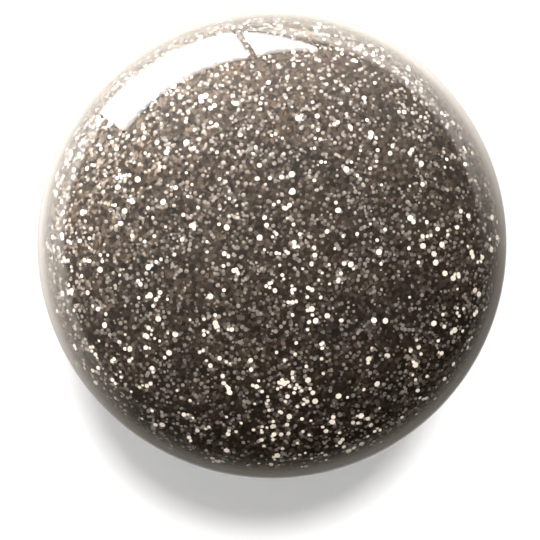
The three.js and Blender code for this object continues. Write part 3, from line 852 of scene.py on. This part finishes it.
def overcap_inside():
    bore, outer, ceiling = HANDLE_RADIUS + 0.3, HANDLE_RADIUS + 1.7, HANDLE_TOP + 0.3
    flange, low, _ = reach("overcap_grip_sleeve")
    groove_low, groove_top = low + 2.95, low + 4.65
    sleeve = softened(
        [
            (0, ceiling),
            (bore, ceiling),
            (bore, groove_top),
            (bore + 0.7, groove_top),
            (bore + 0.7, groove_low),
            (bore, groove_low),
            (bore, low + 0.4),
            (bore + 0.4, low),
            (flange, low),
            (flange, low + 1.2),
            (outer, low + 1.2),
            (outer, ceiling + 0.8),
            (outer - 0.3, ceiling + 1),
            (0, ceiling + 1),
        ],
        0.1,
    )
    piece = lathe("grip_sleeve", sleeve, BLACK)
    place(piece, "overcap", "black_plastic", "overcap_grip_sleeve")
    ring("grip_ring", "overcap_grip_ring", bore - 0.1, RUBBER, "overcap", "grip_rubber", 0.4)


def carried_over(node, material):
    """A CAD node that is shown as it is, with a better material."""
    data = frame["nodes"][node].data
    for i in range(max(1, len(data.materials))):
        if i < len(data.materials):
            data.materials[i] = material
        else:
            data.materials.append(material)


overcap()
overcap_flakes()
overcap_inside()
glass_bottle()
lacquer()
bottle_fittings()
handle()
insert()
stem()
tuft()
ring("seal", "seal_wad", STEM_RADIUS + 0.4, FOAM, "seal", "seal_foam")
ring("washer", "slip_washer", STEM_RADIUS + 0.4, NATURAL, "washer", "natural_plastic")
for steel_node in ("handle_weight", "brush_anchor", "overcap_weight"):
    carried_over(steel_node, STEEL)

# ---- Camera: straight above, as a long lens sees it ----

VIEW_WIDTH = 40.3  # what the picture spans at the dome's widest
VIEW_MIDDLE = (-0.15, -1.94)
camera_data = bpy.data.cameras.new("camera")
camera_data.lens = 300
camera_data.sensor_width = 36
camera = bpy.data.objects.new("camera", camera_data)
bpy.context.scene.collection.objects.link(camera)
CAMERA_DISTANCE = camera_data.lens * VIEW_WIDTH / camera_data.sensor_width
camera.location = Vector((*VIEW_MIDDLE, DOME_Z + CAMERA_DISTANCE)) * MM
camera_data.clip_start, camera_data.clip_end = 0.05, 20
bpy.context.scene.camera = camera

# ---- Floor and light ----


def floor():
    material, tree, output = new_material("floor")
    shader = principled(tree, (0.93, 0.93, 0.93), 0.9)
    shader.inputs["Specular IOR Level"].default_value = 0.0
    tree.links.new(shader.outputs[0], output.inputs[0])
    half = 4000
    corners = [(-half, -half, 0), (half, -half, 0), (half, half, 0), (-half, half, 0)]
    new_object("floor", corners, [(0, 1, 2, 3)], material)


AMBIENT_STRENGTH = 0.6


def world():
    """Even soft light from all round. The camera sees a plain pale backdrop."""
    made = bpy.data.worlds.new("studio")
    bpy.context.scene.world = made
    made.use_nodes = True
    tree = made.node_tree
    tree.nodes.clear()
    output = tree.nodes.new("ShaderNodeOutputWorld")
    soft = add(tree, "ShaderNodeBackground", Strength=AMBIENT_STRENGTH)
    soft.inputs["Color"].default_value = (1, 0.996, 0.99, 1)
    plain = add(tree, "ShaderNodeBackground", Strength=1.0)
    plain.inputs["Color"].default_value = (1, 1, 1, 1)
    to_camera = tree.nodes.new("ShaderNodeLightPath").outputs["Is Camera Ray"]
    tree.links.new(mixed(tree, to_camera, soft.outputs[0], plain.outputs[0]), output.inputs[0])


LIGHT_AZIMUTH = 112.0
TENT_RADIUS = 1500
TENT_COLOUR = (1.0, 0.962, 0.915)
TENT_STRENGTH = 0.57
TENT_GROWTH = 2.18
GLOW_STRENGTH = 5.9
GLOW_START, GLOW_FULL = -0.6, 0.75  # how far towards the light's side, in radii
GLOW_TOP, GLOW_FULL_BELOW = 0.28, 0.14  # how high on the tent, in radii


def mirrored_only(light):
    """Makes a light show only in mirrored and refracted views, and not light or shade dull surfaces."""
    light.visible_camera = False
    light.visible_diffuse = False
    light.visible_shadow = False


def towards_light(tree, scale):
    """A socket for how far a point lies towards the light's side, times scale."""
    turn = math.radians(LIGHT_AZIMUTH)
    dot = add(tree, "ShaderNodeVectorMath", operation="DOT_PRODUCT")
    dot.inputs[1].default_value = (scale * math.cos(turn), scale * math.sin(turn), 0)
    tree.links.new(object_position(tree), dot.inputs[0])
    return dot.outputs["Value"]


def side_glow(tree, radius):
    """A socket for the glow's strength on a round wall of this radius in metres."""
    towards = towards_light(tree, 1 / radius)
    return smooth_step(tree, towards, GLOW_START, GLOW_FULL, GLOW_STRENGTH)


def glowing(tree, colour, strength):
    """A socket for light of this colour, with its strength from a socket."""
    light = tree.nodes.new("ShaderNodeEmission")
    light.inputs["Color"].default_value = (*colour, 1)
    tree.links.new(strength, light.inputs["Strength"])
    return light.outputs[0]


def tent():
    """A light tent over the bottle that grows brighter towards one side, most of all low down."""
    material, tree, output = new_material("tent")
    radius = TENT_RADIUS * MM
    grown = calculated(tree, "EXPONENT", towards_light(tree, TENT_GROWTH / radius))
    base = calculated(tree, "MULTIPLY", grown, TENT_STRENGTH)
    low = smooth_step(tree, height_of(tree), GLOW_TOP * radius, GLOW_FULL_BELOW * radius)
    glow = calculated(tree, "MULTIPLY", side_glow(tree, radius), low)
    light = glowing(tree, TENT_COLOUR, calculated(tree, "ADD", base, glow))
    tree.links.new(light, output.inputs[0])
    material.cycles.emission_sampling = "NONE"
    outline = arc(0, 1, TENT_RADIUS, 0, 90, 24)[:-1] + [(0, TENT_RADIUS + 1)]
    mirrored_only(lathe("tent", outline, material, 64))


def mirrored_from(share, azimuth, radius):
    """Where a ray from high above the bottle goes after the dome mirrors it: the point at this radius
    from the axis. share is the place on the dome, from 0 at its centre to 1 at its edge."""
    turn = math.radians(azimuth)
    tilt = math.atan(DOME_RISE / DOME_RADIUS * share / math.sqrt(1 - share**2))
    start = share * DOME_RADIUS
    outward = math.atan(start / CAMERA_DISTANCE)
    rise = (radius - start) / math.tan(2 * tilt + outward)
    height = DOME_Z + DOME_RISE * math.sqrt(1 - share**2) + rise
    return radius * math.cos(turn), radius * math.sin(turn), height


PANE_DISTANCE = 400
PANE_STRENGTH = 28
# Each pane: its first and last azimuth in degrees, and from where to where on the dome, as shares of its
# radius, the pane shows at each of the two.
PANES = [
    ((99.5, 142.5), (0.8, 0.912), (0.79, 0.925)),
    ((77.0, 97.0), (0.846, 0.846), (0.8, 0.9)),
]
PANE_SOFT_EDGE = 0.02  # in shares of the dome's radius
PANE_SOFT_END = 0.6  # in degrees
GAP_AZIMUTH = 98.2
GAP_LEAN = 2.4
GAP_REACH = 8  # the lean dies away over this many degrees


def pane_azimuths(first, last):
    """Where a pane's columns stand: evenly along it, and on both sides of each end for the fade."""
    ends = [first - PANE_SOFT_END, first + PANE_SOFT_END, last - PANE_SOFT_END, last + PANE_SOFT_END]
    return sorted(ends + list(np.linspace(first, last, 25)[1:-1]))


def gap_lean(azimuth):
    """How far the bar between the panes leans here, in degrees."""
    return GAP_LEAN * max(0, 1 - abs(azimuth - GAP_AZIMUTH) / GAP_REACH)


def softbox():
    """A curved two-pane softbox beside the bottle, seen as the window-shaped highlight on the dome. The
    panes fade out over their edges, and the bar between them leans."""
    material, tree, output = new_material("softbox")
    fade = add(tree, "ShaderNodeAttribute", attribute_name="fade")
    strength = calculated(tree, "MULTIPLY", fade.outputs["Fac"], PANE_STRENGTH)
    tree.links.new(glowing(tree, (1, 1, 1), strength), output.inputs[0])
    for n, ((first, last), near, far) in enumerate(PANES):
        azimuths = pane_azimuths(first, last)
        vertices, fades = [], []
        for azimuth in azimuths:
            t = (azimuth - first) / (last - first)
            inner = near[0] + (far[0] - near[0]) * t
            outer = max(inner, near[1] + (far[1] - near[1]) * t)
            into = min(PANE_SOFT_EDGE, outer - inner) / 2
            lean = gap_lean(azimuth)
            bright = 1.0 if first < azimuth < last else 0.0
            for share, turn, amount in (
                (inner - PANE_SOFT_EDGE, -lean, 0.0),
                (inner + into, -lean, bright),
                (outer - into, 0.4 * lean, bright),
                (outer + PANE_SOFT_EDGE / 2, 0.4 * lean, 0.0),
            ):
                vertices.append(mirrored_from(share, azimuth + turn, PANE_DISTANCE))
                fades.append(amount)
        corners = [4 * i + j for i in range(len(azimuths) - 1) for j in range(3)]
        faces = [(k, k + 1, k + 5, k + 4) for k in corners]
        pane = new_object(f"softbox_{n + 1}", vertices, faces, material)
        pane.data.attributes.new("fade", "FLOAT", "POINT").data.foreach_set("value", fades)
        mirrored_only(pane)


CARD_RADIUS = 46
CARD_TOP = DOME_Z + 5
CARD_TOP_FADE = 6
CARD_FOOT, CARD_FOOT_FADE = 2, 18


def side_card():
    """A low card round the bottle that carries the tent's glow and its dark down to the floor, and thins
    out towards its top and its foot."""
    material, tree, output = new_material("side_card")
    height = height_of(tree)
    foot = smooth_step(tree, height, CARD_FOOT * MM, (CARD_FOOT + CARD_FOOT_FADE) * MM)
    top = smooth_step(tree, height, CARD_TOP * MM, (CARD_TOP - CARD_TOP_FADE) * MM)
    body = calculated(tree, "MULTIPLY", foot, top)
    clear = tree.nodes.new("ShaderNodeBsdfTransparent").outputs[0]
    light = glowing(tree, TENT_COLOUR, side_glow(tree, CARD_RADIUS * MM))
    tree.links.new(mixed(tree, body, clear, light), output.inputs[0])
    material.cycles.emission_sampling = "NONE"
    count = 96
    turns = [2 * math.pi * i / count for i in range(count)]
    heights = (0.5, CARD_TOP)
    vertices = [(CARD_RADIUS * math.cos(t), CARD_RADIUS * math.sin(t), z) for z in heights for t in turns]
    faces = [(i, (i + 1) % count, count + (i + 1) % count, count + i) for i in range(count)]
    mirrored_only(new_object("side_card", vertices, faces, material))


KEY_TILT = 8.15
KEY_AZIMUTH = 82.5
KEY_WIDTH = 2.9
KEY_STRENGTH = 2.0


def key_light():
    """A soft lamp almost straight above, which gives the shadow its place."""
    data = bpy.data.lights.new("key", "SUN")
    data.energy = KEY_STRENGTH
    data.angle = math.radians(KEY_WIDTH)
    data.color = (1, 0.994, 0.984)
    lamp = bpy.data.objects.new("key", data)
    tilt, turn = math.radians(KEY_TILT), math.radians(KEY_AZIMUTH)
    towards = Vector((math.sin(tilt) * math.cos(turn), math.sin(tilt) * math.sin(turn), math.cos(tilt)))
    lamp.rotation_mode = "QUATERNION"
    lamp.rotation_quaternion = towards.to_track_quat("Z", "Y")
    lamp.visible_glossy = False
    bpy.context.scene.collection.objects.link(lamp)


floor()
world()
tent()
softbox()
side_card()
key_light()
bpy.context.scene.view_settings.view_transform = "Standard"
bpy.context.scene.view_settings.look = "None"
